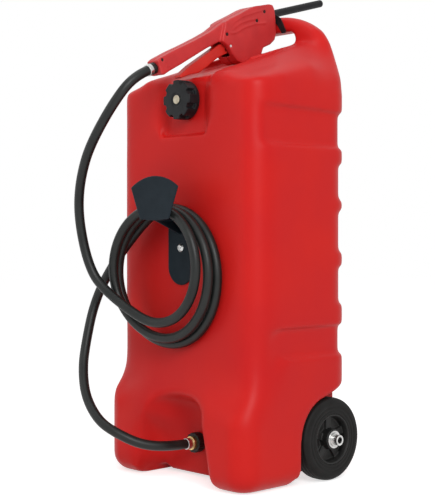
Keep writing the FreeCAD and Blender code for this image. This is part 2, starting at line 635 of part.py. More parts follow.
def hose_pieces():
    coil_in, coil_out = coil_ends()
    square_in, square_out = coil_ends(HOSE_SQUARE)
    upper = [HOSE_START, HOSE_BEND] + from_front(UPPER_ROUTE) + [square_in, coil_in]
    lower = [coil_out, square_out] + from_front(LOWER_ROUTE) + [(0, FERRULE_END_Y, OUTLET_Z)]
    return {"hose_upper": tube_along(upper, HOSE_R, "hose_upper"), "hose_coil": hose_coil(),
            "hose_lower": tube_along(lower, HOSE_R, "hose_lower")}


# Filler cap
def on_neck(start, end, outer, inner=0.0):
    if inner:
        return pipe_between((0, start, NECK_Z), (0, end, NECK_Z), outer, inner)
    return rod((0, start, NECK_Z), (0, end, NECK_Z), outer)


def cap_pieces():
    front = FRONT_Y - CAP_STAND_OFF
    back = front + CAP_LENGTH
    body = on_neck(front, back, CAP_R)
    for i in range(CAP_LOBES):
        notch = box(-CAP_NOTCH / 2, CAP_NOTCH / 2, front - 1, back - 8, NECK_Z + CAP_R - CAP_NOTCH, NECK_Z + CAP_R + 5)
        notch.rotate(V(0, 0, NECK_Z), V(0, 1, 0), 360.0 / CAP_LOBES * (i + 0.5))
        body = body.cut(notch)
    body = body.cut([on_neck(front + CAP_TOP, back + 1, NECK_R + CAP_GAP), on_neck(front - 1, back, VENT_R - 2)])
    body = body.cut(on_neck(front - 1, front + 2, VENT_R))
    top = front + CAP_TOP + 0.15
    disc = on_neck(front - 0.5, front + 2, VENT_R)
    flange = NECK_BORE_R - 2.5
    gasket = on_neck(top, top + GASKET, NECK_R, flange)
    cage = fuse([on_neck(top, top + GASKET, flange, 10.0), on_neck(top, top + 14, 12.0, 10.0),
                 on_neck(top + 12, top + 14, 10.5, 2.5)])
    seal = on_neck(top, top + 2, 7.5)
    spring = spring_between((0, top + 2.0, NECK_Z), (0, top + 12.0, NECK_Z), 5.0, 0.6, 5)
    return {"cap_shell": body, "cap_vent_disc": disc, "cap_gasket": gasket, "cap_vent_cage": cage,
            "cap_vent_seal": seal, "cap_vent_spring": spring}


def spring_between(start, end, radius, wire_r, coils):
    # Open coil spring on quarter-turn arcs, its wire's end faces inside the seats' planes
    axis = V(*end) - V(*start)
    length = axis.Length
    axis.normalize()
    side = axis.cross(V(1, 0, 0) if abs(axis.x) < 0.9 else V(0, 0, 1)).normalize()
    up = axis.cross(side)
    room = length - 2 * wire_r - 0.2

    def at(q):
        a = q * math.pi / 2
        return V(*start) + axis * (wire_r + 0.1 + room * q / (4 * coils)) + (side * math.cos(a) + up * math.sin(a)) * radius

    def heading(q):
        return (at(q + 0.01) - at(q - 0.01)).normalize()

    edges = []
    for q in range(4 * coils):
        edges += biarc(at(q), heading(q), at(q + 1), heading(q + 1))
    section = Part.Wire([Part.Circle(at(0), heading(0), wire_r).toShape()])
    return Part.Wire(edges).makePipeShell([section], True, False)


# Nozzle
def line_face(points, x):
    return Part.Face(Part.makePolygon([V(x, y, z) for y, z in points + [points[0]]]))


def plate(points, half, inset=0.0):
    face = line_face(points, -half + inset)
    if inset:
        face = face.makeOffset2D(-inset)
    return face.extrude(V(2 * (half - inset), 0, 0))


def spout_at(distance):
    # Point on the spout's axis, measured from its inner end
    line = (V(0, *SPOUT_TIP) - V(0, *SPOUT_START)).normalize()
    return V(0, *SPOUT_START) + line * distance


def spout_length():
    return (V(0, *SPOUT_TIP) - V(0, *SPOUT_START)).Length


def grip_axis(distance):
    # Point on the hose's line through the grip, measured inward from the hose's end
    start = V(*HOSE_START)
    line = (V(0, -110, 786) - start).normalize()
    return start + line * distance


def screw_places():
    return [(y, z, BODY_HALF) for y, z in BODY_SCREWS] + [(*GRIP_SCREW, GRIP_HALF)]


def nozzle_shells():
    outer = fuse([plate(GRIP_LINE, GRIP_HALF), plate(GUN_LINE, BODY_HALF)])
    inner = fuse([plate(GRIP_LINE, GRIP_HALF, SHELL_WALL), plate(GUN_LINE, BODY_HALF, SHELL_WALL)])
    bosses = [rod((-half + 1, y, z), (half - 1, y, z), SCREW_R + 2.4) for y, z, half in screw_places()]
    pin_boss = rod((-BODY_HALF + 1, *LEVER_PIVOT), (BODY_HALF - 1, *LEVER_PIVOT), 5.5)
    middle = box(-LEVER_HALF - 1.5, LEVER_HALF + 1.5, LEVER_PIVOT[0] - 9, LEVER_PIVOT[0] + 9,
                 LEVER_PIVOT[1] - 9, LEVER_PIVOT[1] + 9)
    hollow = inner.cut(bosses + [pin_boss.cut(middle)])
    body = outer.cut(hollow)
    mouth = LEVER_HALF + 1.0
    slot = prism_yz([(-47, 811), (-42, 818), (-12, 815), (-14, 790), (-30, 780), (-47, 790)], -mouth, mouth)
    hose_hole = Part.makeCylinder(TAIL_R, 60, grip_axis(-10), grip_axis(50) - grip_axis(0))
    spout_hole = Part.makeCylinder(SPOUT_R, 80, spout_at(0), spout_at(1) - spout_at(0))
    body = body.cut([slot, hose_hole, spout_hole, rod((-40, *LEVER_PIVOT), (40, *LEVER_PIVOT), LEVER_PIN_R)])
    for y, z, half in screw_places():
        body = body.cut([rod((-half + 4, y, z), (half + 1, y, z), SCREW_R), rod((half - 3, y, z), (half + 1, y, z), 3.2)])
    left = body.common(box(-60, 0, -300, 300, 600, 1000))
    right = body.common(box(0, 60, -300, 300, 600, 1000))
    return left, right


def lever_shape():
    hub = rod((-LEVER_HALF, *LEVER_PIVOT), (LEVER_HALF, *LEVER_PIVOT), 6.0)
    lever = fuse([plate(LEVER_LINE, LEVER_HALF), plate(LEVER_ARM, LEVER_ARM_HALF), hub])
    return lever.cut(rod((-LEVER_HALF - 1, *LEVER_PIVOT), (LEVER_HALF + 1, *LEVER_PIVOT), LEVER_PIN_R + PLAY))


def pump_pieces():
    # Piston pump in the belly of the nozzle: the lever's inner arm pushes the piston down, its spring lifts it
    def on_pump(z0, z1, outer, inner=0.0):
        if inner:
            return pipe_between((0, PUMP_Y, z0), (0, PUMP_Y, z1), outer, inner)
        return rod((0, PUMP_Y, z0), (0, PUMP_Y, z1), outer)

    low, high = PUMP_Z
    bore = PUMP_R - PUMP_WALL
    side = BODY_HALF - SHELL_WALL
    riser_y = PUMP_Y + PUMP_R + FUEL_TUBE_R - 1
    cylinder = fuse([on_pump(low, high, PUMP_R), box(-side, side, PUMP_Y - 4, PUMP_Y + 4, low + 3, high - 3),
                     rod((0, riser_y, low + 3), (0, riser_y, VALVE_Z[0]), FUEL_TUBE_R)])
    cylinder = cylinder.cut([on_pump(low + PUMP_WALL, high + 1, bore),
                             rod((0, riser_y, low + 6), (0, riser_y, VALVE_Z[0] + 1), FUEL_BORE_R),
                             rod((0, PUMP_Y, low + 7), (0, riser_y, low + 7), 1.5)])
    piston = fuse([on_pump(low + 11, low + 15, bore - PLAY), on_pump(low + 15, low + 20.1, 3.5)])
    seal = on_pump(low + 10, low + 11, bore - PLAY, 7.0)
    spring = spring_between((0, PUMP_Y, low + PUMP_WALL), (0, PUMP_Y, low + 11), 5.0, 0.6, 3)
    return {"pump_cylinder": cylinder, "pump_piston": piston, "pump_seal": seal, "pump_spring": spring}


def valve_pieces():
    # Valve block with an inlet ball and an outlet ball, and the fuel tubes that meet it
    y0, y1 = VALVE_Y
    z0, z1 = VALVE_Z
    bore_z = z0 + 13
    side = BODY_HALF - SHELL_WALL
    block = fuse([box(-11, 11, y0, y1, z0, z1), box(-side, side, y0 + 12, y0 + 22, z0 + 4, z1 - 4)])
    riser_y = PUMP_Y + PUMP_R + FUEL_TUBE_R - 1
    chambers, balls = [], []
    for y in (y0 + 8, y0 + 26):
        chambers.append(rod((0, y, bore_z), (0, y + 9, bore_z), 4.0))
        balls.append(Part.makeSphere(3.0, V(0, y + 1.84, bore_z)))
    block = block.cut(chambers + [rod((0, y0 - 1, bore_z), (0, y1 + 1, bore_z), 2.4),
                                  rod((0, riser_y - 5, z0 - 1), (0, riser_y - 5, bore_z), 2.0)])
    inlet = [tuple(grip_axis(TAIL_LENGTH))] + INLET_ROUTE + [(0, y0, bore_z)]
    outlet = [(0, y1, bore_z)] + OUTLET_ROUTE + [tuple(spout_at(-5) - V(0, 0, 4))]
    pieces = {"valve_block": block, "valve_balls": group(balls)}
    for name, route in (("inlet_tube", inlet), ("outlet_tube", outlet)):
        ends = [V(*route[0]) - (V(*route[1]) - V(*route[0])) * 0.2] + route[1:-1]
        ends.append(V(*route[-1]) + (V(*route[-1]) - V(*route[-2])) * 0.2)
        pieces[name] = tube_along(route, FUEL_TUBE_R, name).cut([tube_along(ends, FUEL_BORE_R, name + " bore"), block])
    line = spout_at(1) - spout_at(0)
    elbow = Part.makeCylinder(10.0, 10.0, spout_at(-10), line)
    elbow = elbow.cut([tube_along(outlet, FUEL_TUBE_R, "elbow socket"),
                       Part.makeCylinder(FUEL_BORE_R, 8.0, spout_at(-6), line)])
    pieces["spout_elbow"] = elbow
    return pieces


def nozzle_pieces():
    left, right = nozzle_shells()
    pieces = {"nozzle_shell_left": left, "nozzle_shell_right": right, "nozzle_lever": lever_shape()}
    pieces["lever_pin"] = rod((-BODY_HALF + 2, *LEVER_PIVOT), (BODY_HALF - 2, *LEVER_PIVOT), LEVER_PIN_R)
    screws = []
    for y, z, half in screw_places():
        head = rod((half - 3, y, z), (half - 1.2, y, z), 3.0)
        screws.append(fuse([head, rod((-half + 4.2, y, z), (half - 2, y, z), SCREW_R)]))
    pieces["nozzle_screws"] = group(screws)
    line = spout_at(1) - spout_at(0)
    tube = Part.makeCylinder(SPOUT_R, spout_length(), spout_at(0), line)
    pieces["spout"] = tube.cut(Part.makeCylinder(SPOUT_BORE_R, spout_length() + 2, spout_at(-1), line))
    collar = Part.makeCylinder(SPOUT_R + 1.5, 1.7, spout_at(SPOUT_COLLAR_AT + SPOUT_CLIP_THICK), line)
    pieces["spout_collar"] = collar.cut(Part.makeCylinder(SPOUT_R, 5.0, spout_at(SPOUT_COLLAR_AT), line))
    pieces["spout_clip"] = spout_clip()
    along = grip_axis(1) - grip_axis(0)
    for name, start, length, outer, inner in (("hose_tail", 0.0, TAIL_LENGTH, TAIL_R, 5.0),
                                              ("hose_collar", 8.5, 9.0, 10.5, TAIL_R),
                                              ("hose_crimp", 0.0, 8.5, 10.8, TAIL_R)):
        sleeve = Part.makeCylinder(outer, length, grip_axis(start), along)
        pieces[name] = sleeve.cut(Part.makeCylinder(inner, length + 2, grip_axis(start - 1), along))
    pieces.update(pump_pieces())
    pieces.update(valve_pieces())
    return pieces


def spout_clip():
    # Hanger strap: a washer round the root of the spout and a flat tongue in front of the handle bar
    line = spout_at(1) - spout_at(0)
    washer = Part.makeCylinder(SPOUT_R + 2, SPOUT_CLIP_THICK, spout_at(SPOUT_COLLAR_AT), line)
    tongue = prism_xz([(2, 888), (12, 886), (33, 872), (47, 846), (45, 842), (36, 842), (22, 862), (2, 872)], 99.9, 101.6)
    tongue = tongue.cut(Part.makeCylinder(SPOUT_R + 1.5, 6.0, spout_at(SPOUT_COLLAR_AT + SPOUT_CLIP_THICK), line))
    return fuse([washer, tongue]).cut(Part.makeCylinder(SPOUT_R, 8.0, spout_at(SPOUT_COLLAR_AT - 3), line))


def save(name, shape):
    shape.translate(V(0, -OUTLINE_MIDDLE_Y, 0))
    shape.exportStep(os.path.join("parts", name + ".step"))
    print(name, "valid", shape.isValid(), "solids", len(shape.Solids), "volume", round(shape.Volume / 1000, 1))


def main():
    os.makedirs("parts", exist_ok=True)
    nodes = {"tank_shell": tank_shell(), "hose_hook": hose_hook(), "hook_screw": hook_screw(),
             "hook_insert": hook_insert()}
    for pieces in (outlet_pieces(), axle_pieces(), hose_pieces(), cap_pieces(), nozzle_pieces()):
        nodes.update(pieces)
    for name, shape in nodes.items():
        save(name, shape)


if __name__ == "__main__":
    main()
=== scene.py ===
import json
import math

import bmesh
import bpy
import numpy as np
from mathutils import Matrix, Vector


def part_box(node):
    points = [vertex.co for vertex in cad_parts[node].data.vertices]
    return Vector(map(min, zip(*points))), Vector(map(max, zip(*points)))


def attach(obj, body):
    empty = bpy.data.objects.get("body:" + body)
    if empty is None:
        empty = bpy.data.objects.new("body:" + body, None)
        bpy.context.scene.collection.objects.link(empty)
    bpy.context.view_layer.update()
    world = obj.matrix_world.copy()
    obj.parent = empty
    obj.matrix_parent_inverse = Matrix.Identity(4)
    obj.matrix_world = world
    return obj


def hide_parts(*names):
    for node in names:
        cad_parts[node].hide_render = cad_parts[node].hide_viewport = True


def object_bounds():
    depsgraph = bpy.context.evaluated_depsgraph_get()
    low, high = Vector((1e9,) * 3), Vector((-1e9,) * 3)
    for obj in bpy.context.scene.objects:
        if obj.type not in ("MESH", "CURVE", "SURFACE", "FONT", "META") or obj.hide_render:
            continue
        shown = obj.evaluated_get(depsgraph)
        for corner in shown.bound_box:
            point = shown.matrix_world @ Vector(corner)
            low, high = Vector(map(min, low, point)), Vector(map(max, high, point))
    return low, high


# Metres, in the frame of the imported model: +X along the axle, -Y to the front, +Z up.
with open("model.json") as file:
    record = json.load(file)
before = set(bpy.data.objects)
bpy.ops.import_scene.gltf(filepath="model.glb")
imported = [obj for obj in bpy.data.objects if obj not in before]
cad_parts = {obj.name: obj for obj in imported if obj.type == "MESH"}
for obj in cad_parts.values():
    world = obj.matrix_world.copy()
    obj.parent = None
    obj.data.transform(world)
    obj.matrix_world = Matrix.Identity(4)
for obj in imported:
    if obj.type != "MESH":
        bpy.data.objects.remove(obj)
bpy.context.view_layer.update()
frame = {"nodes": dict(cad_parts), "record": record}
NODES = frame["nodes"]
SLOT_OF = {item["node"]: item["material_slot"] for item in frame["record"]["subparts"]}
BODY_OF = {node: body for body, nodes in frame["record"]["behaviour"]["bodies"].items() for node in nodes}

# Camera, worked out from the photograph
CAMERA_PLACE = (1.642, -1.61594, 0.456)
CAMERA_TURN = math.radians(46.5)
CAMERA_LENS = 87.27
CAMERA_SHIFT_Y = -0.0313
SENSOR_HEIGHT = 36.0

# Places that several pieces share
FRONT_Y = -0.14794
NECK_Z = 0.698
OUTLET_Z = 0.066
AXLE_Y = 0.05206
AXLE_Z = 0.076

# Hose: the route's points, from the nozzle's crimp to the outlet's ferrule.
# The two routes count Y from the front wall.
HOSE_R = 0.009
HOSE_EXIT = (0.0, -0.23094, 0.744)
HOSE_BEND = (0.0, -0.26394, 0.73028)
UPPER_ROUTE = [(-0.025, -0.142, 0.682), (-0.074, -0.147, 0.623), (-0.112, -0.139, 0.581),
               (-0.147, -0.125, 0.526), (-0.161, -0.112, 0.471), (-0.152, -0.100, 0.399),
               (-0.129, -0.088, 0.354)]
LOWER_ROUTE = [(-0.162, -0.036, 0.390), (-0.196, -0.051, 0.320), (-0.182, -0.083, 0.239),
               (-0.166, -0.101, 0.197), (-0.136, -0.117, 0.151), (-0.094, -0.120, 0.112),
               (-0.056, -0.108, 0.092), (-0.022, -0.075, 0.071), (0.0, -0.027, OUTLET_Z)]
HOSE_END = (0.0, -0.13894, OUTLET_Z)

# Coil: angles in degrees, 90 at the top; the depths are taken at every quarter turn
COIL_CENTRE_X = -0.0135
COIL_TOP_Z = 0.499
COIL_FRONT_R = 0.1035
COIL_GROWTH = (0.0194, -0.0046)
COIL_SPREAD = 0.96
COIL_DEPTH = (-0.0940, -0.0530, -0.0484, -0.0523, -0.0615, -0.0335, -0.0298, -0.0330, -0.0425,
              -0.0145, -0.0109, -0.0138, -0.0220, -0.0320)
COIL_DEPTH_FROM = 180
COIL_GROWTH_FROM = 270
COIL_START = 250
COIL_END = 1215
COIL_POINTS = 40


# Small tools
def link(obj):
    bpy.context.scene.collection.objects.link(obj)
    return obj


def mesh_object(name, bm):
    mesh = bpy.data.meshes.new(name)
    bm.normal_update()
    bm.to_mesh(mesh)
    bm.free()
    mesh.shade_smooth()
    return link(bpy.data.objects.new(name, mesh))


def baked(obj):
    # The object's mesh with its modifiers applied
    mesh = bpy.data.meshes.new_from_object(obj.evaluated_get(bpy.context.evaluated_depsgraph_get()))
    obj.modifiers.clear()
    obj.data = mesh
    return obj


def copy_of(node, name):
    # A free copy of a CAD node's mesh, to be dressed
    obj = link(bpy.data.objects.new(name, NODES[node].data.copy()))
    obj.data.materials.clear()
    return obj


def set_material(obj, material):
    obj.data.materials.clear()
    obj.data.materials.append(material)
    return obj


def place(obj, body, slot, *nodes):
    # A finished piece: its material, the body that it rides on and the nodes that it stands for
    set_material(obj, FINISH[slot].material)
    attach(obj, body)
    if nodes:
        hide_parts(*nodes)
    return obj


def points_of(mesh):
    co = np.zeros(3 * len(mesh.vertices))
    mesh.vertices.foreach_get("co", co)
    return co.reshape(-1, 3)


def set_points(mesh, co):
    mesh.vertices.foreach_set("co", co.reshape(-1))
    mesh.update()


def reshape(mesh, shape):
    # Move a mesh's points with a function of their places
    set_points(mesh, shape(points_of(mesh)))


def relax(mesh, passes, weight=None):
    # Even out a dense mesh, so that its edges round off as moulding rounds them.
    # Only the points with weight, and their neighbours, are worked on.
    co = points_of(mesh)
    n = len(co)
    edges = np.zeros(2 * len(mesh.edges), np.int64)
    mesh.edges.foreach_get("vertices", edges)
    a, b = edges[::2], edges[1::2]
    pull = np.ones(n) if weight is None else weight(co)
    used = np.union1d(a[pull[b] > 0], b[pull[a] > 0])
    used = np.union1d(used, np.flatnonzero(pull > 0))
    index = np.full(n, -1)
    index[used] = np.arange(len(used))
    kept = (index[a] >= 0) & (index[b] >= 0)
    a, b = index[a[kept]], index[b[kept]]
    n = len(used)
    count = np.maximum(np.bincount(a, minlength=n) + np.bincount(b, minlength=n), 1)
    pull = 0.5 * pull[used][:, None]
    part = co[used]
    for _ in range(passes):
        total = np.stack([np.bincount(a, part[b, k], n) + np.bincount(b, part[a, k], n)
                          for k in range(3)], 1)
        part += pull * (total / count[:, None] - part)
    co[used] = part
    set_points(mesh, co)


def remeshed(obj, voxel):
    modifier = obj.modifiers.new("skin", "REMESH")
    modifier.mode = "VOXEL"
    modifier.voxel_size = voxel
    return baked(obj)


def softened(node, voxel, passes, shape=None):
    # A moulded or worn form of a CAD node: its edges rounded, and details pressed into its surface
    obj = remeshed(copy_of(node, node + "_form"), voxel)
    relax(obj.data, passes)
    if shape:
        reshape(obj.data, shape)
        relax(obj.data, 1)
    obj.data.shade_smooth()
    return place(obj, BODY_OF[node], SLOT_OF[node], node)


def step(value, low, high):
    # 0 below low, 1 above high, smooth between
    t = np.clip((value - low) / (high - low), 0, 1)
    return t * t * (3 - 2 * t)


def fade(value, low, high):
    # 1 below low, 0 above high, smooth between
    return 1 - step(value, low, high)


def distance_to_line(p, line):
    # Least distance of points (n, 2) from a line of runs
    best = np.full(len(p), 1e9)
    for a, b in zip(np.array(line[:-1]), np.array(line[1:])):
        ab = b - a
        t = np.clip(((p - a) @ ab) / (ab @ ab), 0, 1)
        best = np.minimum(best, np.hypot(*(p - a - t[:, None] * ab).T))
    return best


# Materials
# Sockets of a mix node that mixes colours
MIX_AMOUNT, MIX_FIRST, MIX_SECOND = 0, 6, 7
MIX_RESULT = 2


class Shader:
    """A Principled material whose colour and bump come from nodes in object coordinates."""

    def __init__(self, name, roughness, metallic=0.0, specular=0.5):
        self.material = bpy.data.materials.new(name)
        self.material.use_nodes = True
        self.nodes = self.material.node_tree.nodes
        self.links = self.material.node_tree.links
        self.shader = self.nodes["Principled BSDF"]
        self.shader.inputs["Roughness"].default_value = roughness
        self.shader.inputs["Metallic"].default_value = metallic
        self.shader.inputs["Specular IOR Level"].default_value = specular
        self.place = self.nodes.new("ShaderNodeTexCoord").outputs["Object"]
        self.normal = None

    def noise(self, scale, detail):
        node = self.nodes.new("ShaderNodeTexNoise")
        node.inputs["Scale"].default_value = scale
        node.inputs["Detail"].default_value = detail
        self.links.new(self.place, node.inputs["Vector"])
        return node.outputs["Fac"]

    def ramp(self, value, *stops):
        node = self.nodes.new("ShaderNodeValToRGB")
        for element, (at, colour) in zip(node.color_ramp.elements, stops):
            element.position = at
            element.color = (*colour, 1.0)
        self.links.new(value, node.inputs["Fac"])
        return node.outputs["Color"]

    def blend(self, amount, first, second):
        # first where amount is 0, second where it is 1
        node = self.nodes.new("ShaderNodeMix")
        node.data_type = "RGBA"
        self.links.new(amount, node.inputs[MIX_AMOUNT])
        self.links.new(first, node.inputs[MIX_FIRST])
        self.links.new(second, node.inputs[MIX_SECOND])
        return node.outputs[MIX_RESULT]

    def edges(self, low, high):
        # 1 on the outward edges of a dense mesh, 0 elsewhere
        geometry = self.nodes.new("ShaderNodeNewGeometry")
        node = self.nodes.new("ShaderNodeMapRange")
        node.inputs["From Min"].default_value = low
        node.inputs["From Max"].default_value = high
        self.links.new(geometry.outputs["Pointiness"], node.inputs["Value"])
        return node.outputs["Result"]

    def colour(self, value):
        self.links.new(value, self.shader.inputs["Base Color"])

    def roughness(self, value, low, high):
        node = self.nodes.new("ShaderNodeMapRange")
        node.inputs["To Min"].default_value = low
        node.inputs["To Max"].default_value = high
        self.links.new(value, node.inputs["Value"])
        self.links.new(node.outputs["Result"], self.shader.inputs["Roughness"])

    def bump(self, value, depth, strength=1.0):
        node = self.nodes.new("ShaderNodeBump")
        node.inputs["Distance"].default_value = depth
        node.inputs["Strength"].default_value = strength
        self.links.new(value, node.inputs["Height"])
        if self.normal:
            self.links.new(self.normal, node.inputs["Normal"])
        self.normal = node.outputs["Normal"]
        self.links.new(self.normal, self.shader.inputs["Normal"])


def moulded(name, dark, light, roughness, grain, depth, patch=6.0, specular=0.25, edge_wear_and_highlight=None):
    # Moulded plastic or rubber: soft patches of colour, a fine grain, uneven gloss, and paler convex edges
    # that are partly wear and partly a painted highlight
    s = Shader(name, roughness, specular=specular)
    patches = s.noise(patch, 4.0)
    base = s.ramp(patches, (0.3, dark), (0.7, light))
    if edge_wear_and_highlight:
        # Convex edges are painted paler. This is partly wear and partly a painted highlight along rounded
        # edges.
        edges = s.edges(0.53, 0.62)
        base = s.blend(edges, base, s.ramp(s.noise(patch * 12, 3.0), (0.4, light), (0.75, edge_wear_and_highlight)))
    s.colour(base)
    s.roughness(patches, roughness - 0.05, roughness + 0.06)
    s.bump(s.noise(grain, 2.0), depth)
    return s


def plated(name, dark, light, roughness):
    # Zinc or brass: fine scratches and cloudy tone
    s = Shader(name, roughness, metallic=1.0)
    cloud = s.noise(90.0, 4.0)
    s.colour(s.ramp(cloud, (0.3, dark), (0.7, light)))
    s.roughness(s.noise(300.0, 2.0), roughness - 0.08, roughness + 0.12)
    s.bump(s.noise(900.0, 2.0), 0.00004)
    return s


MOULDED = {
    "tank_red": dict(dark=(0.570, 0.011, 0.012), light=(0.640, 0.014, 0.010), roughness=0.42,
                     grain=900.0, depth=0.00007, specular=0.17, edge_wear_and_highlight=(0.690, 0.045, 0.038)),
    "nozzle_red": dict(dark=(0.500, 0.028, 0.030), light=(0.580, 0.036, 0.037), roughness=0.42,
                       grain=1400.0, depth=0.00005, patch=30.0, edge_wear_and_highlight=(0.640, 0.090, 0.090)),
    "lever_red": dict(dark=(0.560, 0.024, 0.018), light=(0.640, 0.032, 0.022), roughness=0.38,
                      grain=1400.0, depth=0.00005, patch=30.0, edge_wear_and_highlight=(0.800, 0.110, 0.085)),
    "cap_black": dict(dark=(0.007, 0.008, 0.009), light=(0.014, 0.015, 0.017), roughness=0.42,
                      grain=1600.0, depth=0.00006, patch=60.0, specular=0.18, edge_wear_and_highlight=(0.030, 0.032, 0.035)),
    "hook_black": dict(dark=(0.008, 0.014, 0.020), light=(0.013, 0.021, 0.028), roughness=0.48,
                       grain=1600.0, depth=0.00006, patch=40.0, specular=0.12, edge_wear_and_highlight=(0.035, 0.046, 0.055)),
    "black_plastic": dict(dark=(0.008, 0.008, 0.008), light=(0.017, 0.016, 0.015), roughness=0.45,
                          grain=1200.0, depth=0.00006, patch=50.0, edge_wear_and_highlight=(0.030, 0.029, 0.028)),
    "tyre_black": dict(dark=(0.008, 0.0075, 0.007), light=(0.015, 0.0145, 0.014), roughness=0.62,
                       grain=700.0, depth=0.00012, patch=40.0, specular=0.15, edge_wear_and_highlight=(0.030, 0.029, 0.027)),
    "hose_rubber": dict(dark=(0.007, 0.0085, 0.008), light=(0.014, 0.016, 0.015), roughness=0.40,
                        grain=1500.0, depth=0.00005, patch=30.0, specular=0.30),
    "rubber_black": dict(dark=(0.010, 0.010, 0.010), light=(0.018, 0.018, 0.018), roughness=0.70,
                         grain=900.0, depth=0.00008, patch=40.0),
    "spout_black": dict(dark=(0.008, 0.008, 0.009), light=(0.015, 0.015, 0.016), roughness=0.45,
                        grain=1200.0, depth=0.00005, patch=60.0, specular=0.15),
    # Screw heads: this dark red-brown is painted shade, standing in for the shade in the screws' recesses in
    # the red shell
    "screw_black": dict(dark=(0.020, 0.008, 0.008), light=(0.040, 0.014, 0.014), roughness=0.50,
                        grain=1200.0, depth=0.00004, patch=90.0, specular=0.15),
    "cream_plastic": dict(dark=(0.480, 0.420, 0.300), light=(0.660, 0.600, 0.470), roughness=0.45,
                          grain=1400.0, depth=0.00005, patch=160.0, edge_wear_and_highlight=(0.70, 0.66, 0.55)),
    "clear_tube": dict(dark=(0.62, 0.62, 0.56), light=(0.70, 0.70, 0.64), roughness=0.25,
                       grain=900.0, depth=0.00003, patch=60.0),
}
PLATED = {
    "zinc_steel": dict(dark=(0.46, 0.46, 0.45), light=(0.72, 0.72, 0.71), roughness=0.30),
    "brass_parts": dict(dark=(0.50, 0.34, 0.13), light=(0.72, 0.52, 0.24), roughness=0.30),
}

FINISH = {name: moulded(name, **look) for name, look in MOULDED.items()}
FINISH.update({name: plated(name, **look) for name, look in PLATED.items()})

# The tank's walls are a little uneven, as blown walls are
FINISH["tank_red"].bump(FINISH["tank_red"].noise(26.0, 1.0), 0.0007, 0.35)


# Camera and hose
def make_camera():
    camera = link(bpy.data.objects.new("camera", bpy.data.cameras.new("camera")))
    camera.location = CAMERA_PLACE
    camera.rotation_euler = (math.pi / 2, 0, CAMERA_TURN)
    camera.data.sensor_fit = "VERTICAL"
    camera.data.sensor_height = SENSOR_HEIGHT
    camera.data.lens = CAMERA_LENS
    camera.data.shift_y = CAMERA_SHIFT_Y
    bpy.context.scene.camera = camera


def coil_depth(degrees):
    # A smooth curve through the depths at the quarter turns
    quarters = (degrees - COIL_DEPTH_FROM) / 90
    quarter = int(quarters)
    s = quarters - quarter
    ends = len(COIL_DEPTH) - 1
    before, first, last, after = [COIL_DEPTH[max(0, min(ends, quarter + i))] for i in (-1, 0, 1, 2)]
    leave, arrive = (last - before) / 2, (after - first) / 2
    return (first * (2 * s ** 3 - 3 * s ** 2 + 1) + leave * (s ** 3 - 2 * s ** 2 + s)
            + last * (3 * s ** 2 - 2 * s ** 3) + arrive * (s ** 3 - s ** 2))


def coil_point(degrees):
    # Control points stand a little outside the loop, because the spline runs inside them
    turns = (degrees - COIL_GROWTH_FROM) / 360
    gap = math.radians((COIL_END - COIL_START) / COIL_POINTS)
    radius = COIL_FRONT_R + COIL_GROWTH[0] * turns + COIL_GROWTH[1] * turns ** 2
    outside = radius * (1 + gap * gap / 8)
    a = math.radians(degrees)
    return (COIL_CENTRE_X + COIL_SPREAD * outside * math.cos(a), FRONT_Y + coil_depth(degrees),
            COIL_TOP_Z - radius + outside * math.sin(a))


def from_front(points):
    return [(x, FRONT_Y + y, z) for x, y, z in points]


def make_hose():
    span = COIL_END - COIL_START
    turn = [coil_point(COIL_START + span * i / COIL_POINTS) for i in range(COIL_POINTS + 1)]
    points = [HOSE_EXIT, HOSE_BEND] + from_front(UPPER_ROUTE) + turn + from_front(LOWER_ROUTE) + [HOSE_END]
    curve = bpy.data.curves.new("hose", "CURVE")
    curve.dimensions = "3D"
    curve.bevel_depth = HOSE_R
    curve.bevel_resolution = 8
    curve.resolution_u = 12
    curve.use_fill_caps = True
    spline = curve.splines.new("NURBS")
    spline.points.add(len(points) - 1)
    for point, co in zip(spline.points, points):
        point.co = (*co, 1.0)
    spline.order_u = 3
    spline.use_endpoint_u = True
    hose = link(bpy.data.objects.new("hose", curve))
    place(hose, "tank", "hose_rubber", "hose_upper", "hose_coil", "hose_lower")


# Tank
TANK_VOXEL = 0.003
TANK_PASSES = 12
MERGE_DISTANCE = 0.00001
RING_TOLERANCE = 0.0004

# Inner ends of the neck's and the outlet's bore: centre (x, z), radius, y
TANK_BORES = [((0.0, NECK_Z), 0.0195, FRONT_Y + 0.020), ((0.0, OUTLET_Z), 0.009, FRONT_Y + 0.048)]

# Rear shoulders: height, and how far they draw in
SHOULDER_TRIM = ([0.710, 0.737, 0.752, 0.767, 0.782, 0.797, 0.812, 0.830],
                 [0.0, 0.0030, 0.0055, 0.0095, 0.0100, 0.0060, 0.0030, 0.0])

# Deck: the line of its ridge, and y with how far the ridge goes down there
DECK_Z = 0.7967
DECK_SLOPE = 0.295
DECK_DROP = ([-0.150, -0.090, 0.0, 0.060, 0.100], [0.0120, 0.0110, 0.0085, 0.0045, 0.0])
DECK_SIDE_EXTRA = 0.35

# Niche and feet: how far each form goes down, and how far the niche's upper corners are filled.
# On the right, where x is positive, less is filled and less is rounded.
ROOF_DROP = 0.012
FOOT_DROP = 0.031
BELLY_DROP = 0.009
FOOT_FRONT_Y = -0.178
FILL_DEPTH = 0.074
FILL_LESS_RIGHT = 0.75
NICHE_LESS_RIGHT = 0.90
FLARE_LEFT = 0.10

# Side bands, from low to high, which keep most of their edges
BANDS = ((0.205, 0.285), (0.590, 0.684))
BAND_EDGE = 0.015
BAND_KEEP = 0.85


def connected_parts(bm):
    seen, parts = set(), []
    for start in bm.verts:
        if start in seen:
            continue
        seen.add(start)
        stack, group = [start], []
        while stack:
            v = stack.pop()
            group.append(v)
            for e in v.link_edges:
                w = e.other_vert(v)
                if w not in seen:
                    seen.add(w)
                    stack.append(w)
        parts.append(group)
    return parts


def on_ring(v, centre, radius, y):
    away = math.hypot(v.co.x - centre[0], v.co.z - centre[1])
    return abs(away - radius) < RING_TOLERANCE and abs(v.co.y - y) < RING_TOLERANCE


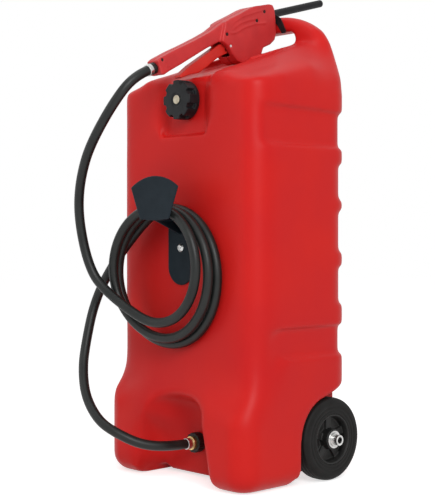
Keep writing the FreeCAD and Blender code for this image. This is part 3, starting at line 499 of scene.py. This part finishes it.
def outer_skin(obj):
    # The outside of the tank: its bores are parted from the cavity and closed at their inner ends
    bm = bmesh.new()
    bm.from_mesh(obj.data)
    bmesh.ops.remove_doubles(bm, verts=bm.verts, dist=MERGE_DISTANCE)
    rings = [e for e in bm.edges if any(all(on_ring(v, *bore) for v in e.verts) for bore in TANK_BORES)]
    bmesh.ops.split_edges(bm, edges=rings)
    outer = set(max(connected_parts(bm), key=lambda part: max(abs(v.co.x) for v in part)))
    bmesh.ops.delete(bm, geom=[v for v in bm.verts if v not in outer], context="VERTS")
    bmesh.ops.holes_fill(bm, edges=[e for e in bm.edges if e.is_boundary], sides=0)
    bm.to_mesh(obj.data)
    bm.free()
    return obj


def tank_form(co):
    # The shoulders draw in under the handle arch, the deck falls off beside the nozzle's cradle,
    # the niche's roof is low and the belly behind it hangs down
    x, y, z = co.T
    aside = np.abs(x)

    rear = step(y, 0.000, 0.060) * step(aside, 0.100, 0.150)
    x -= np.sign(x) * rear * np.interp(z, *SHOULDER_TRIM)

    above = z - (DECK_Z + DECK_SLOPE * y)
    deck = step(above, -0.050, -0.008) * fade(above, 0.004, 0.020) * step(aside, 0.060, 0.070)
    z -= deck * (1 + DECK_SIDE_EXTRA * step(aside, 0.100, 0.150)) * np.interp(y, *DECK_DROP)

    front = fade(y, -0.100, -0.080)
    roof = step(z, 0.110, 0.150) * fade(z, 0.172, 0.230) * fade(aside, 0.075, 0.105)
    z -= ROOF_DROP * roof * front
    flare = step(z, 0.090, 0.150) * fade(z, 0.215, 0.300) * step(aside, 0.085, 0.120)
    z -= FOOT_DROP * flare * front

    corner = step(z, 0.070, 0.125) * fade(z, 0.150, 0.170) * fade(aside, 0.095, 0.120)
    filled = corner * step(aside, 0.010, 0.075) * (1 - FILL_LESS_RIGHT * step(x, -0.010, 0.010))
    y -= filled * np.clip(y - FOOT_FRONT_Y, 0, FILL_DEPTH) * fade(y, -0.103, -0.098)

    under = fade(z, 0.010, 0.055) * fade(aside, 0.078, 0.095) * fade(y, -0.02, 0.02)
    z -= BELLY_DROP * under
    return co


def near_handle(co):
    # Where the handle arch grows out of the deck
    x, y, z = co.T
    rise = step(y, 0.050, 0.070) * step(z, 0.775, 0.805)
    return rise * fade(z, 0.800, 0.822) * step(np.abs(x), 0.060, 0.070)


def near_niche(co):
    # Round the niche and between the feet, but not on the outlet's seat
    x, y, z = co.T
    inside = fade(np.abs(x), 0.130, 0.150) * fade(z, 0.175, 0.195)
    inside *= (1 - NICHE_LESS_RIGHT * step(x, 0.020, 0.070)) * step(z, 0.016, 0.034)
    return inside * fade(y, -0.095, -0.075) * step(np.hypot(x, z - OUTLET_Z), 0.024, 0.050)


def near_flare(co):
    # Where the front wall flows into the feet without a step, short of the lower side band
    x, y, z = co.T
    height = step(z, 0.110, 0.160) * fade(z, 0.270, 0.310)
    side = step(np.abs(x), 0.150, 0.180) * step(y, -0.140, -0.095) * step(z, 0.190, 0.240)
    across = FLARE_LEFT + (1 - FLARE_LEFT) * step(x, -0.150, -0.110)
    return height * fade(y, -0.085, -0.060) * across * (1 - side)


def near_pocket(co):
    # Where the pocket and the cradle run out on the shoulders
    x, y, z = co.T
    across = step(np.abs(x), 0.044, 0.056) * fade(np.abs(x), 0.080, 0.105)
    return across * step(z, 0.640, 0.665) * fade(y, -0.060, -0.030)


def near_corner(co):
    # The upright corners in front
    x, y, z = co.T
    corner = step(np.abs(x), 0.110, 0.135) * fade(y, -0.100, -0.070)
    bands = sum(step(z, low, low + BAND_EDGE) * fade(z, high, high + BAND_EDGE) for low, high in BANDS)
    return corner * step(z, 0.150, 0.180) * (1 - BAND_KEEP * bands * step(y, -0.135, -0.120))


def near_shoulder(co):
    # The rear shoulders under the handle arch
    x, y, z = co.T
    rise = step(z, 0.735, 0.760) * fade(z, 0.820, 0.845)
    return rise * step(y, 0.010, 0.040) * step(np.abs(x), 0.105, 0.130)


# Extra rounding of the tank: passes and where
TANK_ROUNDING = ((60, near_handle), (260, near_niche), (300, near_flare), (160, near_pocket),
                 (80, near_corner), (70, near_shoulder))


def make_tank():
    tank = outer_skin(copy_of("tank_shell", "tank_skin"))
    remeshed(tank, TANK_VOXEL)
    relax(tank.data, TANK_PASSES)
    reshape(tank.data, tank_form)
    for passes, weight in TANK_ROUNDING:
        relax(tank.data, passes, weight)
    tank.data.shade_smooth()
    return place(tank, "tank", "tank_red", "tank_shell")


# Nozzle: raised ribs on the sides of its belly and a raised ring on its grip, in (y, z)
BELLY_RIBS = [[(-0.0409, 0.8479), (-0.0161, 0.8639), (0.0175, 0.8764), (0.0467, 0.8861)],
              [(-0.0409, 0.8373), (-0.0228, 0.8500), (0.0006, 0.8595), (0.0226, 0.8651)],
              [(-0.0524, 0.8289), (-0.0327, 0.8319), (-0.0061, 0.8461), (0.0209, 0.8553),
               (0.0484, 0.8598)]]
RIB_HEIGHT = 0.0011
RIB_WIDTH = 0.0022
RING_CENTRE = (-0.1935, 0.7492)
RING_R = 0.0062
RING_HEIGHT = 0.0007
RING_WIDTH = 0.0008
GRIP_END_Y = -0.15


def nozzle_details(co):
    # The belly's sides sink by the ribs' height, so that the ribs stand where the sides were
    x, y, z = co.T
    side = np.sign(x)
    flat = co[:, 1:]
    belly = step(np.abs(x), 0.0205, 0.0230)
    height = np.zeros(len(co))
    for rib in BELLY_RIBS:
        along = step(y, rib[0][0] - 0.004, rib[0][0] + 0.012)
        height += RIB_HEIGHT * along * np.exp(-(distance_to_line(flat, rib) / RIB_WIDTH) ** 2)
    x += side * belly * (np.minimum(height, RIB_HEIGHT) - RIB_HEIGHT)
    ring = np.abs(np.hypot(y - RING_CENTRE[0], z - RING_CENTRE[1]) - RING_R)
    grip = step(np.abs(x), 0.0135, 0.0150) * (1 - belly) * (y < GRIP_END_Y)
    x += side * grip * RING_HEIGHT * np.exp(-(ring / RING_WIDTH) ** 2)
    return co


# Lever: the lines of its top and underside in (y, z); its blade deepens towards the root
LEVER_TOP = ([-0.159, -0.132, -0.080, -0.054], [0.7425, 0.7635, 0.796, 0.813])
LEVER_UNDER = ([-0.156, -0.112, -0.082, -0.060, -0.044], [0.7368, 0.7555, 0.779, 0.793, 0.800])
LEVER_DEEPER = 0.0075


def lever_details(co):
    _, y, z = co.T
    top, under = np.interp(y, *LEVER_TOP), np.interp(y, *LEVER_UNDER)
    low = fade((z - under) / (top - under), 0.1, 0.9)
    root = step(y, -0.150, -0.085) * fade(y, -0.040, -0.032)
    z -= LEVER_DEEPER * root * low
    return co


# Cap: deep notches between its lobes and a sunk ring round the vent disc
CAP_LOBE = 45.0
NOTCH_R = 0.0303
CAP_RING_DEPTH = 0.0014


def cap_details(co):
    x, y, z = co.T
    away = np.hypot(x, z - NECK_Z)
    turn = np.degrees(np.arctan2(x, z - NECK_Z)) % CAP_LOBE - CAP_LOBE / 2
    notch = fade(np.abs(turn), 7.0, 9.5) * fade(y, FRONT_Y + 0.002, FRONT_Y + 0.004)
    pressed = 1 - notch * np.clip(away - NOTCH_R, 0, 1) / np.maximum(away, 0.001)
    x *= pressed
    z[:] = NECK_Z + (z - NECK_Z) * pressed
    face = fade(y, FRONT_Y - 0.0125, FRONT_Y - 0.0110)
    y += face * CAP_RING_DEPTH * step(away, 0.0088, 0.0096) * fade(away, 0.0125, 0.0140)
    return co


# Pieces that keep their CAD form with softer edges: node, voxel, passes and pressed details
SOFTENED = (("nozzle_shell_left", 0.0011, 14, nozzle_details),
            ("nozzle_shell_right", 0.0011, 14, nozzle_details),
            ("nozzle_lever", 0.0009, 9, lever_details),
            ("cap_shell", 0.0008, 5, cap_details),
            ("hose_hook", 0.0011, 6, None),
            ("cap_vent_disc", 0.0004, 3, None),
            ("spout_clip", 0.0005, 3, None),
            ("hook_screw", 0.0003, 2, None),
            ("outlet_nut", 0.0006, 4, None),
            ("outlet_ferrule", 0.0005, 4, None),
            ("hose_crimp", 0.0005, 3, None),
            ("hose_collar", 0.0005, 3, None),
            ("spout_collar", 0.0004, 2, None),
            ("spout", 0.0006, 3, None),
            ("axle_washers", 0.0004, 2, None),
            ("axle_push_nuts", 0.0004, 2, None))

# Wheels: the outer half of the tyre's section, in (distance along X, radius), with its grooves
RIM_VOXEL = 0.0010
RIM_PASSES = 5
TYRE_HALF = [(0.0, 0.0760), (0.0030, 0.0760), (0.0038, 0.0752), (0.0050, 0.0752), (0.0058, 0.0759),
             (0.0095, 0.0756), (0.0103, 0.0747), (0.0115, 0.0745), (0.0123, 0.0751), (0.0150, 0.0738),
             (0.0172, 0.0715), (0.0184, 0.0685), (0.01895, 0.0650), (0.0190, 0.0600), (0.0184, 0.0592),
             (0.0184, 0.0584), (0.0189, 0.0576), (0.0189, 0.0530), (0.0183, 0.0522), (0.0183, 0.0514),
             (0.0188, 0.0506), (0.0188, 0.0470), (0.0180, 0.0461)]


def lathe(name, profile, centre, around=96):
    # Turn a closed section of (distance along X, radius) about the axle
    bm = bmesh.new()
    rings = []
    for i in range(around):
        a = 2 * math.pi * i / around
        rings.append([bm.verts.new((centre[0] + x, centre[1] + r * math.cos(a), centre[2] + r * math.sin(a)))
                      for x, r in profile])
    count = len(profile)
    for i in range(around):
        here, there = rings[i], rings[(i + 1) % around]
        for k in range(count):
            bm.faces.new((here[k], here[(k + 1) % count], there[(k + 1) % count], there[k]))
    bmesh.ops.recalc_face_normals(bm, faces=bm.faces)
    return mesh_object(name, bm)


def make_wheel(side):
    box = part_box("tyre_" + side)
    middle = (box[0][0] + box[1][0]) / 2
    profile = [(-x, r) for x, r in reversed(TYRE_HALF[1:])] + TYRE_HALF
    tyre = lathe("tyre_" + side + "_form", profile, (middle, AXLE_Y, AXLE_Z))
    place(tyre, "wheel_" + side, "tyre_black", "tyre_" + side)
    softened("rim_" + side, RIM_VOXEL, RIM_PASSES)


def finish_nodes():
    # The CAD nodes take their finish from their slots
    for node, slot in SLOT_OF.items():
        set_material(NODES[node], FINISH[slot].material)


# Room: lamps with place, aim, size and power in watts
WHITE = (1.0, 1.0, 1.0, 1.0)
FLOOR_PALE = (0.80, 0.80, 0.80, 1.0)
WORLD_LEVEL = 0.42
FLOOR_LIFT = 0.66
FLOOR_HALF = 8.0
FLOOR_GAP = 0.0005
LAMPS = [("key", (2.4, -1.6, 1.9), (0, 0, 0.45), (1.4, 1.4), 55.0),
         ("fill", (-1.2, -2.6, 1.4), (0, 0, 0.5), (1.8, 1.8), 8.0),
         ("top", (-0.4, -0.6, 3.0), (0, 0, 0.6), (1.4, 1.4), 9.0)]


def seen_directly(nodes, links):
    # 1 for rays from the camera, and for those that gloss and glass send on
    path = nodes.new("ShaderNodeLightPath")
    either = nodes.new("ShaderNodeMath")
    either.operation = "MAXIMUM"
    seen = nodes.new("ShaderNodeMath")
    seen.operation = "MAXIMUM"
    links.new(path.outputs["Is Glossy Ray"], either.inputs[0])
    links.new(path.outputs["Is Transmission Ray"], either.inputs[1])
    links.new(path.outputs["Is Camera Ray"], seen.inputs[0])
    links.new(either.outputs[0], seen.inputs[1])
    return seen.outputs[0]


def make_background():
    # White where it is seen, and a lower level where it lights the object
    world = bpy.data.worlds.new("studio")
    bpy.context.scene.world = world
    world.use_nodes = True
    nodes, links = world.node_tree.nodes, world.node_tree.links
    background = nodes["Background"]
    background.inputs["Color"].default_value = WHITE
    level = nodes.new("ShaderNodeMapRange")
    level.inputs["To Min"].default_value = WORLD_LEVEL
    level.inputs["To Max"].default_value = 1.0
    links.new(seen_directly(nodes, links), level.inputs["Value"])
    links.new(level.outputs["Result"], background.inputs["Strength"])


def make_lamps():
    for name, place_at, aim, size, power in LAMPS:
        data = bpy.data.lights.new(name, "AREA")
        data.shape = "RECTANGLE"
        data.size, data.size_y = size
        data.energy = power
        lamp = link(bpy.data.objects.new(name, data))
        lamp.location = place_at
        lamp.rotation_euler = (Vector(aim) - Vector(place_at)).to_track_quat("-Z", "Y").to_euler()


def floor_material():
    # Pale floor that reads as white, and keeps the object's shadow
    material = bpy.data.materials.new("floor")
    material.use_nodes = True
    nodes, links = material.node_tree.nodes, material.node_tree.links
    pale = nodes["Principled BSDF"]
    pale.inputs["Base Color"].default_value = FLOOR_PALE
    pale.inputs["Roughness"].default_value = 0.9
    pale.inputs["Specular IOR Level"].default_value = 0.0
    pale.inputs["Emission Color"].default_value = WHITE
    lift = nodes.new("ShaderNodeMath")
    lift.operation = "MULTIPLY"
    lift.inputs[1].default_value = FLOOR_LIFT
    links.new(seen_directly(nodes, links), lift.inputs[0])
    links.new(lift.outputs[0], pale.inputs["Emission Strength"])
    return material


def make_floor():
    bm = bmesh.new()
    bmesh.ops.create_grid(bm, x_segments=1, y_segments=1, size=FLOOR_HALF)
    floor = mesh_object("floor", bm)
    floor.location.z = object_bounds()[0][2] - FLOOR_GAP
    set_material(floor, floor_material())


bpy.context.scene.view_settings.view_transform = "Standard"
make_camera()
make_hose()
make_tank()
for entry in SOFTENED:
    softened(*entry)
make_wheel("left")
make_wheel("right")
finish_nodes()
make_background()
make_lamps()
make_floor()
